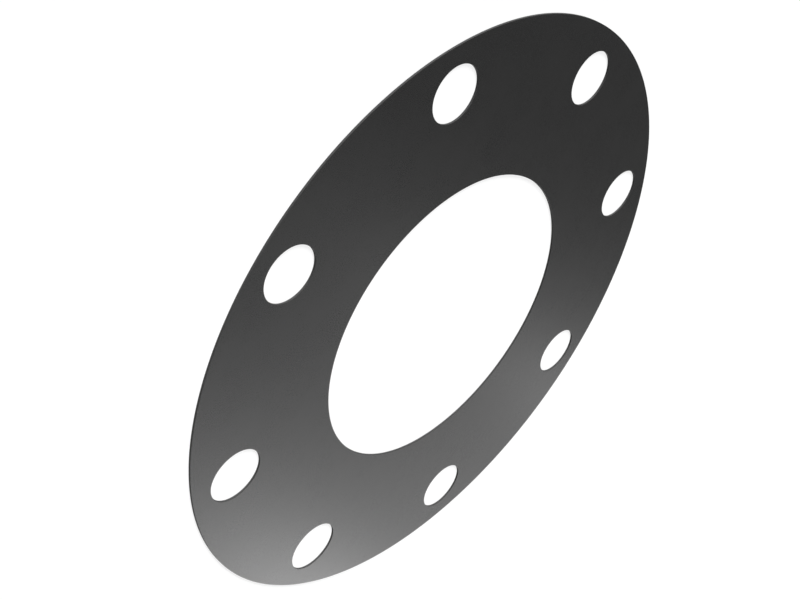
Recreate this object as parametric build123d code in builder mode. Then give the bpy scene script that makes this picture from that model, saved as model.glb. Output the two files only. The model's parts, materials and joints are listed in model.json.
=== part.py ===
from build123d import *
import os

# Full-face flange gasket, die cut in one piece from thin rubber sheet.
# Lengths are in millimetres. The gasket lies flat: the origin is on the bore axis, in the
# plane of the bottom face, and +Z points out of the top face. One bolt hole is centred on +X.

# Driving dimensions, worked outwards from the bore
bore_diameter = 127.0  # 5 in
sealing_land = 33.3375  # 1 5/16 in, from the bore to the near side of a bolt hole
bolt_hole_diameter = 22.225  # 7/8 in, clears a 3/4 in bolt
bolt_hole_count = 8
rim_land = 7.9375  # 5/16 in, from the far side of a bolt hole to the outer edge
sheet_thickness = 0.79375  # 1/32 in

# Circles that follow from them
bolt_circle_diameter = bore_diameter + 2 * sealing_land + bolt_hole_diameter
outer_diameter = bolt_circle_diameter + bolt_hole_diameter + 2 * rim_land

# The sheet: one cut outline, as a steel-rule die stamps it, taken through the thickness
with BuildPart() as gasket:
    with BuildSketch(Plane.XY) as cut_outline:
        Circle(outer_diameter / 2)
        Circle(bore_diameter / 2, mode=Mode.SUBTRACT)
        with PolarLocations(bolt_circle_diameter / 2, bolt_hole_count):
            Circle(bolt_hole_diameter / 2, mode=Mode.SUBTRACT)
    extrude(amount=sheet_thickness)

gasket.part.label = "gasket"

os.makedirs("parts", exist_ok=True)
export_step(gasket.part, "parts/gasket.step")
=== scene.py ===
import json
import math

import bpy
from mathutils import Matrix, Vector


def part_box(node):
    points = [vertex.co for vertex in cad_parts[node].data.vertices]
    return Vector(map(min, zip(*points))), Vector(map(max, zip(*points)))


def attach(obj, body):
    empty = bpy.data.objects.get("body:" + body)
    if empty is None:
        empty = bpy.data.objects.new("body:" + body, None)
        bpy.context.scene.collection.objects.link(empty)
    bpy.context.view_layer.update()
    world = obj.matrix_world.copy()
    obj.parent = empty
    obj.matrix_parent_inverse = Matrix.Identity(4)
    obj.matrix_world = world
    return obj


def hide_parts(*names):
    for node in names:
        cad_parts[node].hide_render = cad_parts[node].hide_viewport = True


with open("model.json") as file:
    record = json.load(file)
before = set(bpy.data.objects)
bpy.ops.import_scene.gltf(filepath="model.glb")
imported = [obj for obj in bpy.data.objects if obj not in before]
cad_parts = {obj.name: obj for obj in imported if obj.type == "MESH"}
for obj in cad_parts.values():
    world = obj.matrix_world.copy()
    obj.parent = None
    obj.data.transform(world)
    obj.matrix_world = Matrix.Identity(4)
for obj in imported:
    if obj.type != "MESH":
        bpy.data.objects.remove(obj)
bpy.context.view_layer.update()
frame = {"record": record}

# The gasket's sizes, in metres, from the frame. It lies flat, with its origin on the bore axis in
# the plane of its bottom face.
MILLIMETRE = 0.001
mounts = {mount["name"]: mount["dims"] for mount in frame["record"]["mounts"]}
high_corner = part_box("gasket")[1]
outer_radius = max(high_corner.x, high_corner.y)
bore_radius = mounts["bore"]["r_mm"] * MILLIMETRE
sheet_thickness = mounts["bore"]["length_mm"] * MILLIMETRE
bolt_circle_radius = mounts["bolt_circle"]["pcd_mm"] / 2 * MILLIMETRE
bolt_hole_radius = mounts["bolt_circle"]["hole_r_mm"] * MILLIMETRE
bolt_hole_count = mounts["bolt_circle"]["count"]

# What the steel-rule die leaves: the top edge is drawn down a little where the blade goes in, and
# the bottom edge stays nearly sharp.
TOP_EDGE_RADIUS = 0.09 * MILLIMETRE
BOTTOM_EDGE_RADIUS = 0.03 * MILLIMETRE

# How the mesh is divided. The flat faces begin a margin away from each cut.
FLAT_MARGIN = 0.25 * MILLIMETRE
RIM_SEGMENTS = 512
HOLE_SEGMENTS = 128
EDGE_SEGMENTS = 4
WELD_DISTANCE = 0.001 * MILLIMETRE

# A facet that leans from upright by less than this has the finish of the cut.
CUT_LEAN = math.radians(45.0)

# Angles, in degrees
FULL_TURN = 360
QUARTER_TURN = 90


# Node trees

def plug(tree, socket, value):
    """Links a socket to another one, or gives it a value."""
    if isinstance(value, bpy.types.NodeSocket):
        tree.links.new(value, socket)
    else:
        socket.default_value = value


def add_node(tree, kind, settings=None, **inputs):
    """A node of that kind. An input's name is written with underscores for its spaces."""
    node = tree.nodes.new(kind)
    for name, value in (settings or {}).items():
        setattr(node, name, value)
    for name, value in inputs.items():
        plug(tree, node.inputs[name.replace("_", " ")], value)
    return node


def calculate(tree, operation, *values):
    """The result of one Math node."""
    node = add_node(tree, "ShaderNodeMath", {"operation": operation})
    for socket, value in zip(node.inputs, values):
        plug(tree, socket, value)
    return node.outputs["Value"]


# The die-cut sheet, in Geometry Nodes

def by_index(tree, data_type, values):
    """A field that picks one of the values by a point's index."""
    switch = add_node(tree, "GeometryNodeIndexSwitch", {"data_type": data_type})
    while len(switch.index_switch_items) < len(values):
        switch.index_switch_items.new()
    plug(tree, switch.inputs["Index"],
         add_node(tree, "GeometryNodeInputIndex").outputs["Index"])
    for position, value in enumerate(values):
        plug(tree, switch.inputs[str(position)], value)
    return switch.outputs["Output"]


def vector(tree, x, y, z=0.0):
    """A vector from numbers or sockets."""
    return add_node(tree, "ShaderNodeCombineXYZ", X=x, Y=y, Z=z).outputs["Vector"]


def at_points(tree, points, part):
    """That part once at each point, as instances."""
    return add_node(tree, "GeometryNodeInstanceOnPoints", Points=points,
                    Instance=part).outputs["Instances"]


def join(tree, *geometries):
    """Several geometries as one, with their instances made real."""
    node = add_node(tree, "GeometryNodeJoinGeometry")
    for geometry in geometries:
        tree.links.new(geometry, node.inputs["Geometry"])
    return add_node(tree, "GeometryNodeRealizeInstances",
                    Geometry=node.outputs["Geometry"]).outputs["Geometry"]


def cut_edge_profile(tree, size):
    """The section of a cut edge: in from the top face, round the drawn-down edge and down the wall
    to the bottom face. Its x points out of the sheet and its y points down."""
    inset = calculate(tree, "MULTIPLY", size["Flat Margin"], -1.0)
    top = calculate(tree, "MULTIPLY", size["Thickness"], -1.0)
    corners = [vector(tree, inset, top), vector(tree, 0.0, top),
               vector(tree, 0.0, 0.0), vector(tree, inset, 0.0)]
    radii = [0.0, size["Top Edge Radius"], size["Bottom Edge Radius"], 0.0]
    line = add_node(tree, "GeometryNodeMeshLine", Count=len(corners))
    placed = add_node(tree, "GeometryNodeSetPosition", Geometry=line.outputs["Mesh"],
                      Position=by_index(tree, "VECTOR", corners))
    path = add_node(tree, "GeometryNodeMeshToCurve", Mesh=placed.outputs["Geometry"])
    rounded = add_node(tree, "GeometryNodeFilletCurve", {"mode": "POLY"},
                       Curve=path.outputs["Curve"], Count=size["Edge Segments"],
                       Radius=by_index(tree, "FLOAT", radii))
    return rounded.outputs["Curve"]


def cut_round(tree, profile, size, radius, segments, inwards):
    """One round cut: the wall mesh on the circle, and the circle where the flat faces begin. A cut
    that faces inwards, such as a hole, has its circle run the other way."""
    def level_circle(circle_radius):
        circle = add_node(tree, "GeometryNodeCurvePrimitiveCircle", Resolution=segments,
                          Radius=circle_radius).outputs["Curve"]
        if inwards:
            circle = add_node(tree, "GeometryNodeReverseCurve", Curve=circle).outputs["Curve"]
        return add_node(tree, "GeometryNodeSetCurveNormal", {"mode": "Z_UP"},
                        Curve=circle).outputs["Curve"]

    wall = add_node(tree, "GeometryNodeCurveToMesh", Curve=level_circle(radius),
                    Profile_Curve=profile).outputs["Mesh"]
    operation = "ADD" if inwards else "SUBTRACT"
    face_line = level_circle(calculate(tree, operation, radius, size["Flat Margin"]))
    return wall, face_line


def flat_faces(tree, face_lines, thickness):
    """The top face, and the bottom face turned to face down."""
    fill = add_node(tree, "GeometryNodeFillCurve", Curve=face_lines).outputs["Mesh"]
    top_face = add_node(tree, "GeometryNodeTransform", Geometry=fill,
                        Translation=vector(tree, 0.0, 0.0, thickness)).outputs["Geometry"]
    bottom_face = add_node(tree, "GeometryNodeFlipFaces", Mesh=fill).outputs["Mesh"]
    return top_face, bottom_face


def put_on_finishes(tree, sheet, face_finish, cut_finish):
    """The sheet with the face finish all over and the cut finish on its upright facets."""
    normal = add_node(tree, "ShaderNodeSeparateXYZ",
                      Vector=add_node(tree, "GeometryNodeInputNormal").outputs["Normal"])
    upright = calculate(tree, "LESS_THAN", calculate(tree, "ABSOLUTE", normal.outputs["Z"]),
                        math.sin(CUT_LEAN))
    sheet = add_node(tree, "GeometryNodeSetMaterial", Geometry=sheet,
                     Material=face_finish).outputs["Geometry"]
    return add_node(tree, "GeometryNodeSetMaterial", Geometry=sheet, Selection=upright,
                    Material=cut_finish).outputs["Geometry"]


def die_cut_sheet_tree():
    """The tree that cuts the sheet: a wall on each round cut, closed by a flat face above and
    below."""
    tree = bpy.data.node_groups.new("die_cut_sheet", "GeometryNodeTree")
    lengths = ("Outer Radius", "Bore Radius", "Bolt Circle Radius", "Bolt Hole Radius",
               "Thickness", "Top Edge Radius", "Bottom Edge Radius", "Flat Margin", "Weld Distance")
    counts = ("Bolt Hole Count", "Rim Segments", "Hole Segments", "Edge Segments")
    finishes = ("Face Finish", "Cut Finish")
    for names, kind in ((lengths, "NodeSocketFloat"), (counts, "NodeSocketInt"),
                        (finishes, "NodeSocketMaterial")):
        for name in names:
            tree.interface.new_socket(name, in_out="INPUT", socket_type=kind)
    tree.interface.new_socket("Sheet", in_out="OUTPUT", socket_type="NodeSocketGeometry")
    size = add_node(tree, "NodeGroupInput").outputs

    profile = cut_edge_profile(tree, size)
    rim_wall, rim_line = cut_round(tree, profile, size, size["Outer Radius"],
                                   size["Rim Segments"], inwards=False)
    bore_wall, bore_line = cut_round(tree, profile, size, size["Bore Radius"],
                                     size["Rim Segments"], inwards=True)
    hole_wall, hole_line = cut_round(tree, profile, size, size["Bolt Hole Radius"],
                                     size["Hole Segments"], inwards=True)
    bolt_circle = add_node(tree, "GeometryNodeMeshCircle", Vertices=size["Bolt Hole Count"],
                           Radius=size["Bolt Circle Radius"]).outputs["Mesh"]
    hole_walls = at_points(tree, bolt_circle, hole_wall)
    hole_lines = at_points(tree, bolt_circle, hole_line)
    top_face, bottom_face = flat_faces(tree, join(tree, rim_line, bore_line, hole_lines),
                                       size["Thickness"])

    sheet = join(tree, rim_wall, bore_wall, hole_walls, top_face, bottom_face)
    sheet = add_node(tree, "GeometryNodeMergeByDistance", Geometry=sheet,
                     Distance=size["Weld Distance"]).outputs["Geometry"]
    sheet = add_node(tree, "GeometryNodeSetShadeSmooth", Geometry=sheet).outputs["Geometry"]
    sheet = put_on_finishes(tree, sheet, size["Face Finish"], size["Cut Finish"])
    plug(tree, add_node(tree, "NodeGroupOutput").inputs["Sheet"], sheet)
    return tree


def cut_sheet(name, face_finish, cut_finish):
    """The gasket as a plain mesh, cut by the tree from the frame's sizes."""
    blank = bpy.data.objects.new("blank", bpy.data.meshes.new("blank"))
    bpy.context.scene.collection.objects.link(blank)
    cutter = blank.modifiers.new("die", "NODES")
    cutter.node_group = die_cut_sheet_tree()
    values = {
        "Outer Radius": outer_radius,
        "Bore Radius": bore_radius,
        "Bolt Circle Radius": bolt_circle_radius,
        "Bolt Hole Radius": bolt_hole_radius,
        "Thickness": sheet_thickness,
        "Top Edge Radius": TOP_EDGE_RADIUS,
        "Bottom Edge Radius": BOTTOM_EDGE_RADIUS,
        "Flat Margin": FLAT_MARGIN,
        "Weld Distance": WELD_DISTANCE,
        "Bolt Hole Count": bolt_hole_count,
        "Rim Segments": RIM_SEGMENTS,
        "Hole Segments": HOLE_SEGMENTS,
        "Edge Segments": EDGE_SEGMENTS,
        "Face Finish": face_finish,
        "Cut Finish": cut_finish,
    }
    for item in cutter.node_group.interface.items_tree:
        if item.in_out == "INPUT":
            cutter[item.identifier] = values[item.name]
    depsgraph = bpy.context.evaluated_depsgraph_get()
    mesh = bpy.data.meshes.new_from_object(blank.evaluated_get(depsgraph), depsgraph=depsgraph)
    blank.modifiers.remove(cutter)
    bpy.data.objects.remove(blank)
    # The blank's own empty slot comes before the two finishes.
    mesh.materials.pop(index=0)
    mesh.name = name
    sheet = bpy.data.objects.new(name, mesh)
    bpy.context.scene.collection.objects.link(sheet)
    return sheet


# Finishes

# Nearly all of a noise's values lie between these.
NOISE_LOW = 0.3
NOISE_HIGH = 0.7

# The Mix node's colour sockets, which share their names with others
MIX_FACTOR = 0
MIX_FIRST = 6
MIX_SECOND = 7
MIX_RESULT = 2


def grey(tone):
    """A neutral colour."""
    return (tone, tone, tone, 1.0)


def new_finish(name):
    """An empty material, its tree and the socket that its surface goes to."""
    finish = bpy.data.materials.new(name)
    finish.use_nodes = True
    tree = finish.node_tree
    tree.nodes.clear()
    return finish, tree, add_node(tree, "ShaderNodeOutputMaterial").inputs["Surface"]


def grain(tree, size, detail, stretch=(1.0, 1.0, 1.0)):
    """Noise whose features are about that size in metres, from 0 to 1."""
    place = add_node(tree, "ShaderNodeTexCoord").outputs["Object"]
    scaled = add_node(tree, "ShaderNodeMapping", Vector=place, Scale=stretch).outputs["Vector"]
    noise = add_node(tree, "ShaderNodeTexNoise", Vector=scaled, Scale=1.0 / size, Detail=detail)
    return noise.outputs["Fac"]


def remap(tree, value, low_high, from_low=NOISE_LOW, from_high=NOISE_HIGH):
    """A value, such as a noise, taken from its own range to another."""
    low, high = low_high
    node = add_node(tree, "ShaderNodeMapRange", Value=value, From_Min=from_low,
                    From_Max=from_high, To_Min=low, To_Max=high)
    return node.outputs["Result"]


def mottle(tree, noise, dark_light):
    """A neutral colour that follows a noise from one tone to another."""
    dark, light = dark_light
    node = add_node(tree, "ShaderNodeMix", {"data_type": "RGBA"})
    plug(tree, node.inputs[MIX_FACTOR], remap(tree, noise, (0.0, 1.0)))
    plug(tree, node.inputs[MIX_FIRST], grey(dark))
    plug(tree, node.inputs[MIX_SECOND], grey(light))
    return node.outputs[MIX_RESULT]


def relief(tree, height, depth, **under):
    """A surface normal with that relief, on top of another where one is given."""
    return add_node(tree, "ShaderNodeBump", Height=height, Distance=depth,
                    **under).outputs["Normal"]


RUBBER_IOR = 1.5

# The two faces
FACE_TONES = (0.0188, 0.0208)
FACE_ROUGHNESS = (0.275, 0.285)
CLOUD_SIZE = 22 * MILLIMETRE
RIPPLE_SIZE = 12 * MILLIMETRE
RIPPLE_DEPTH = 0.004 * MILLIMETRE
SKIN_SIZE = 0.25 * MILLIMETRE
SKIN_DEPTH = 0.003 * MILLIMETRE
SKIN_ROUGHNESS = (-0.01, 0.01)


def calendered_rubber():
    """Black sheet rubber as the calender rolls leave it: satin, with a fine even grain, a faint
    long ripple and slight clouds in its tone and gloss."""
    finish, tree, surface = new_finish("calendered_rubber")
    clouds = grain(tree, CLOUD_SIZE, detail=2.0)
    ripple = grain(tree, RIPPLE_SIZE, detail=1.0)
    skin = grain(tree, SKIN_SIZE, detail=3.0)
    shader = add_node(
        tree, "ShaderNodeBsdfPrincipled", IOR=RUBBER_IOR,
        Base_Color=mottle(tree, clouds, FACE_TONES),
        Roughness=calculate(tree, "ADD", remap(tree, clouds, FACE_ROUGHNESS),
                            remap(tree, skin, SKIN_ROUGHNESS)),
        Normal=relief(tree, skin, SKIN_DEPTH, Normal=relief(tree, ripple, RIPPLE_DEPTH)))
    plug(tree, surface, shader.outputs["BSDF"])
    return finish


# The cut walls. Their marks are narrow round the cut and long down the wall.
CUT_TONES = (0.044, 0.056)
CUT_ROUGHNESS = (0.5, 0.66)
CUT_GLOSS = 0.15
MARK_WIDTH = 0.35 * MILLIMETRE
MARK_STRETCH = (1.0, 1.0, 0.04)
MARK_DEPTH = 0.02 * MILLIMETRE
TEXTURE_SIZE = 0.12 * MILLIMETRE


def die_cut_edge():
    """Cut rubber: matt and a little greyer than the skin, with the fine upright marks that the
    blade leaves."""
    finish, tree, surface = new_finish("die_cut_edge")
    marks = grain(tree, MARK_WIDTH, detail=2.0, stretch=MARK_STRETCH)
    texture = grain(tree, TEXTURE_SIZE, detail=2.0)
    shader = add_node(
        tree, "ShaderNodeBsdfPrincipled", IOR=RUBBER_IOR, Specular_IOR_Level=CUT_GLOSS,
        Base_Color=mottle(tree, marks, CUT_TONES),
        Roughness=remap(tree, texture, CUT_ROUGHNESS),
        Normal=relief(tree, marks, MARK_DEPTH))
    plug(tree, surface, shader.outputs["BSDF"])
    return finish


# The piece

gasket_sheet = cut_sheet("gasket_sheet", calendered_rubber(), die_cut_edge())
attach(gasket_sheet, "root")
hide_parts("gasket")


# The studio

WHITE = grey(1.0)


def bearing(azimuth, elevation):
    """The direction that many degrees round from +X and above the floor."""
    around = math.radians(azimuth)
    above = math.radians(elevation)
    return Vector((math.cos(around) * math.cos(above), math.sin(around) * math.cos(above),
                   math.sin(above)))


def seen_background(tree):
    """1 for the rays that show the background: the camera's, and those in gloss and glass."""
    path = add_node(tree, "ShaderNodeLightPath").outputs
    mirrored = calculate(tree, "MAXIMUM", path["Is Glossy Ray"], path["Is Transmission Ray"])
    return calculate(tree, "MAXIMUM", path["Is Camera Ray"], mirrored)


# The background is white. The fill is even light that comes in through the tent's open top.
BACKGROUND_LIGHT = 1.0
FILL_LIGHT = 0.9


def white_studio():
    """The world's light."""
    world = bpy.data.worlds.new("white_studio")
    world.use_nodes = True
    tree = world.node_tree
    tree.nodes.clear()
    strength = remap(tree, seen_background(tree), (FILL_LIGHT, BACKGROUND_LIGHT), 0.0, 1.0)
    glow = add_node(tree, "ShaderNodeBackground", Color=WHITE, Strength=strength)
    plug(tree, add_node(tree, "ShaderNodeOutputWorld").inputs["Surface"],
         glow.outputs["Background"])
    return world


bpy.context.scene.world = white_studio()

# The key light stands to one side of the camera, low enough to rake the cut walls that face it.
KEY_AZIMUTH = -145.0
KEY_ELEVATION = 22.0
KEY_SPREAD = 24.0
KEY_STRENGTH = 5.4


def key_light():
    """A sun lamp, so that its light is the same on every part of the gasket."""
    lamp = bpy.data.objects.new("key_light", bpy.data.lights.new("key_light", "SUN"))
    lamp.data.energy = KEY_STRENGTH
    lamp.data.angle = math.radians(KEY_SPREAD)
    lamp.rotation_euler = bearing(KEY_AZIMUTH, KEY_ELEVATION).to_track_quat("Z", "Y").to_euler()
    bpy.context.scene.collection.objects.link(lamp)


key_light()


def studio_piece(name, vertices, faces, finish):
    """A piece of the studio from its points and faces."""
    mesh = bpy.data.meshes.new(name)
    mesh.from_pydata(vertices, [], faces)
    mesh.materials.append(finish)
    piece = bpy.data.objects.new(name, mesh)
    bpy.context.scene.collection.objects.link(piece)
    return piece


# The floor is a white table top. Its own light brings it up to white and leaves its shadows.
FLOOR_HALF = 3.0
FLOOR_DROP = 0.01 * MILLIMETRE
FLOOR_TONE = 0.25
FLOOR_GLOW = 0.77


def white_table_top():
    """The floor's finish."""
    finish, tree, surface = new_finish("white_table_top")
    paint = add_node(tree, "ShaderNodeBsdfDiffuse", Color=grey(FLOOR_TONE))
    lit = add_node(tree, "ShaderNodeEmission", Color=WHITE,
                   Strength=calculate(tree, "MULTIPLY", seen_background(tree), FLOOR_GLOW))
    both = add_node(tree, "ShaderNodeAddShader")
    plug(tree, both.inputs[0], paint.outputs["BSDF"])
    plug(tree, both.inputs[1], lit.outputs["Emission"])
    plug(tree, surface, both.outputs["Shader"])
    return finish


floor_corners = [(side_x * FLOOR_HALF, side_y * FLOOR_HALF, -FLOOR_DROP)
                 for side_x, side_y in ((-1, -1), (1, -1), (1, 1), (-1, 1))]
floor = studio_piece("floor", floor_corners, [(0, 1, 2, 3)], white_table_top())

# The tent is what the satin faces mirror, and it lights the cut walls from the sides. It is a dim
# dome, open at the top, with lights in its wall and none near its foot. Each pair of numbers is
# where a soft edge begins and ends, as the cosine or the sine of an angle.
TENT_RADIUS = 4.0
TENT_STEP = 5
TENT_TOP = 60
TENT_DIM = 0.097
TENT_FOOT = (0.095, 0.26)

# A wide round glow
GLOW_AZIMUTH = 45.0
GLOW_LIGHT = 1.48
GLOW_EDGE = (0.622, 0.92)

# A small round lamp in the glow
LAMP_AZIMUTH = 61.3
LAMP_ELEVATION = 22.0
LAMP_LIGHT = 5.94
LAMP_EDGE = (0.9935, 0.9997)

# A soft panel on either hand, a quarter turn from the glow
PANEL_LIGHT = 0.6
PANEL_EDGE = (0.85, 1.0)

# A slim upright strip, with its two sides, its top, and an edge that keeps it to its own half of
# the tent
STRIP_AZIMUTH = 81.1
STRIP_LIGHT = 1.46
STRIP_SIDES = (0.034, 0.014)
STRIP_TOP = (0.8, 0.2)
STRIP_HALF = (0.0, 0.1)


def edge(tree, value, begins_ends, strength=1.0):
    """A light's strength: nothing where its soft edge begins, and all of it where the edge ends."""
    begins, ends = begins_ends
    rises = begins < ends
    node = add_node(tree, "ShaderNodeMapRange", {"interpolation_type": "SMOOTHSTEP"}, Value=value,
                    From_Min=min(begins_ends), From_Max=max(begins_ends),
                    To_Min=0.0 if rises else strength, To_Max=strength if rises else 0.0)
    return node.outputs["Result"]


def tent_light():
    """The tent's own light, by the direction from the middle of the floor."""
    finish, tree, surface = new_finish("tent_light")
    direction = add_node(tree, "ShaderNodeVectorMath", {"operation": "NORMALIZE"})
    plug(tree, direction.inputs[0], add_node(tree, "ShaderNodeTexCoord").outputs["Object"])

    def nearness(azimuth, elevation=0.0):
        """The cosine of the angle from that bearing."""
        dot = add_node(tree, "ShaderNodeVectorMath", {"operation": "DOT_PRODUCT"})
        plug(tree, dot.inputs[0], direction.outputs["Vector"])
        plug(tree, dot.inputs[1], bearing(azimuth, elevation))
        return dot.outputs["Value"]

    def off_line(azimuth):
        """The sine of the angle to either side of the upright plane on that bearing."""
        return calculate(tree, "ABSOLUTE", nearness(azimuth + QUARTER_TURN))

    height = nearness(0.0, QUARTER_TURN)
    glow = edge(tree, nearness(GLOW_AZIMUTH), GLOW_EDGE, GLOW_LIGHT)
    lamp = edge(tree, nearness(LAMP_AZIMUTH, LAMP_ELEVATION), LAMP_EDGE, LAMP_LIGHT)
    panels = edge(tree, off_line(GLOW_AZIMUTH), PANEL_EDGE, PANEL_LIGHT)
    strip = edge(tree, off_line(STRIP_AZIMUTH), STRIP_SIDES, STRIP_LIGHT)
    strip = calculate(tree, "MULTIPLY", strip, edge(tree, height, STRIP_TOP))
    strip = calculate(tree, "MULTIPLY", strip, edge(tree, nearness(STRIP_AZIMUTH), STRIP_HALF))

    lights = calculate(tree, "ADD", calculate(tree, "ADD", glow, lamp),
                       calculate(tree, "ADD", panels, strip))
    above_foot = calculate(tree, "MULTIPLY", lights, edge(tree, height, TENT_FOOT))
    light = add_node(tree, "ShaderNodeEmission", Color=WHITE,
                     Strength=calculate(tree, "ADD", above_foot, TENT_DIM))
    plug(tree, surface, light.outputs["Emission"])
    return finish


def tent():
    """The dome, from the floor up to its open top. The camera and the key light pass through it."""
    columns = FULL_TURN // TENT_STEP
    rows = TENT_TOP // TENT_STEP + 1
    points = [bearing(TENT_STEP * column, TENT_STEP * row) * TENT_RADIUS
              for row in range(rows) for column in range(columns)]
    faces = [(row * columns + column, row * columns + (column + 1) % columns,
              (row + 1) * columns + (column + 1) % columns, (row + 1) * columns + column)
             for row in range(rows - 1) for column in range(columns)]
    dome = studio_piece("tent", points, faces, tent_light())
    dome.visible_camera = False
    dome.visible_shadow = False


tent()

# The camera stands where the photograph was taken from, aims at the point of the top face that is
# in the middle of the picture, and is turned about its line of sight as it was.
PHOTO_AZIMUTH = -99.736
PHOTO_ELEVATION = 30.0
PHOTO_ROLL = 125.264
PHOTO_DISTANCE = 0.47184
PHOTO_AIM = Vector((-0.002284, -0.039577, sheet_thickness))
PHOTO_LENS = 57.90
CLIP_START = 0.01
CLIP_END = 100.0


def photo_camera():
    """The camera, level first and then rolled."""
    back = bearing(PHOTO_AZIMUTH, PHOTO_ELEVATION)
    right = Vector((0.0, 0.0, 1.0)).cross(back).normalized()
    level = Matrix((right, back.cross(right), back)).transposed().to_4x4()
    roll = Matrix.Rotation(math.radians(PHOTO_ROLL), 4, "Z")
    camera = bpy.data.objects.new("photo_camera", bpy.data.cameras.new("photo_camera"))
    camera.data.lens = PHOTO_LENS
    camera.data.clip_start = CLIP_START
    camera.data.clip_end = CLIP_END
    camera.matrix_world = Matrix.Translation(PHOTO_AIM + back * PHOTO_DISTANCE) @ level @ roll
    bpy.context.scene.collection.objects.link(camera)
    return camera


bpy.context.scene.camera = photo_camera()
bpy.context.scene.view_settings.view_transform = "Standard"
